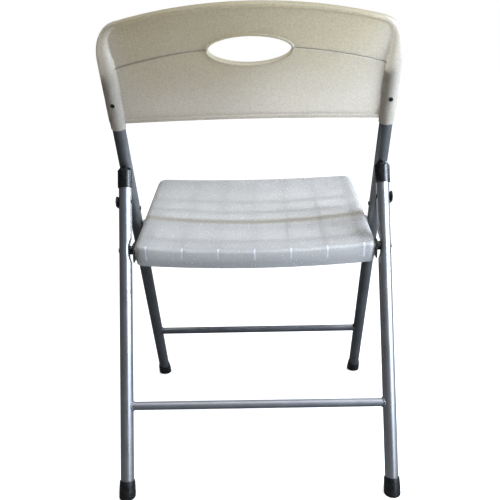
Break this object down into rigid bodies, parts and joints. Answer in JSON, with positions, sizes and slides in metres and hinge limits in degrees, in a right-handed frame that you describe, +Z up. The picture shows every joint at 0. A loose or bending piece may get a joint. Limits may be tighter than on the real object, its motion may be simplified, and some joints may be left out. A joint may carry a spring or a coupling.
{
  "type": "folding chair",
  "caption": "Folding chair with a tubular steel frame, translucent moulded seat and backrest with a hand hole, link straps and floor caps.",
  "frame": {"origin": "on the floor, at the centre of the open chair's outline seen from above", "axes": "+Z up, the sitter faces -Y, X = 0 is the mirror plane, the chair's own left is +X"},
  "size_m": [0.4778, 0.4931, 0.7818],
  "materials": {
    "frame_paint": "satin dark silver-grey powder coat",
    "silver_paint": "satin bright silver powder coat",
    "black_plastic": "satin",
    "black_steel": "semi-gloss black",
    "zinc_steel": "zinc plated",
    "back_plastic": "translucent natural polypropylene, satin, slightly yellowed",
    "seat_plastic": "translucent natural polypropylene, satin"
  },
  "bodies": {
    "main_frame": {"left_main_tube": "frame_paint", "right_main_tube": "frame_paint", "front_crossbar": "frame_paint", "left_front_foot": "black_plastic", "right_front_foot": "black_plastic", "backrest": "back_plastic", "left_backrest_screw": "black_steel", "right_backrest_screw": "black_steel", "left_link_front_rivet": "black_steel", "right_link_front_rivet": "black_steel", "left_link_washer": "black_plastic", "right_link_washer": "black_plastic"},
    "seat": {"seat_panel": "seat_plastic", "seat_cross_bar": "zinc_steel", "left_seat_pivot_pin": "zinc_steel", "right_seat_pivot_pin": "zinc_steel", "left_seat_bracket": "black_steel", "right_seat_bracket": "black_steel"},
    "rear_legs": {"left_rear_leg": "silver_paint", "right_rear_leg": "silver_paint", "rear_crossbar": "silver_paint", "left_rear_foot": "black_plastic", "right_rear_foot": "black_plastic", "left_rear_leg_cap": "black_plastic", "right_rear_leg_cap": "black_plastic", "left_seat_rear_pin": "zinc_steel", "right_seat_rear_pin": "zinc_steel", "left_link_rear_pin": "black_steel", "right_link_rear_pin": "black_steel"},
    "left_link": {"left_link_strap": "black_steel", "left_link_rear_rivet": "black_steel"},
    "right_link": {"right_link_strap": "black_steel", "right_link_rear_rivet": "black_steel"}
  },
  "joints": [
    {"name": "seat_fold", "type": "hinge", "parent": "main_frame", "child": "seat", "pos_m": [0, -0.02249, 0.40942], "axis": [-1, 0, 0], "range_deg": [0, 93.5]},
    {"name": "rear_leg_fold", "type": "hinge", "parent": "seat", "child": "rear_legs", "pos_m": [0, 0.09542, 0.39192], "axis": [1, 0, 0], "range_deg": [0, 47.4]},
    {"name": "left_link_fold", "type": "hinge", "parent": "main_frame", "child": "left_link", "pos_m": [0, -0.00456, 0.44461], "axis": [-1, 0, 0], "range_deg": [0, 113.6]},
    {"name": "right_link_fold", "type": "hinge", "parent": "main_frame", "child": "right_link", "pos_m": [0, -0.00456, 0.44461], "axis": [-1, 0, 0], "range_deg": [0, 113.6]}
  ],
  "couplings": [
    {"joint": "rear_leg_fold", "follows": "seat_fold", "ratio": 0.5059},
    {"joint": "left_link_fold", "follows": "seat_fold", "ratio": 1.2142},
    {"joint": "right_link_fold", "follows": "seat_fold", "ratio": 1.2142}
  ]
}
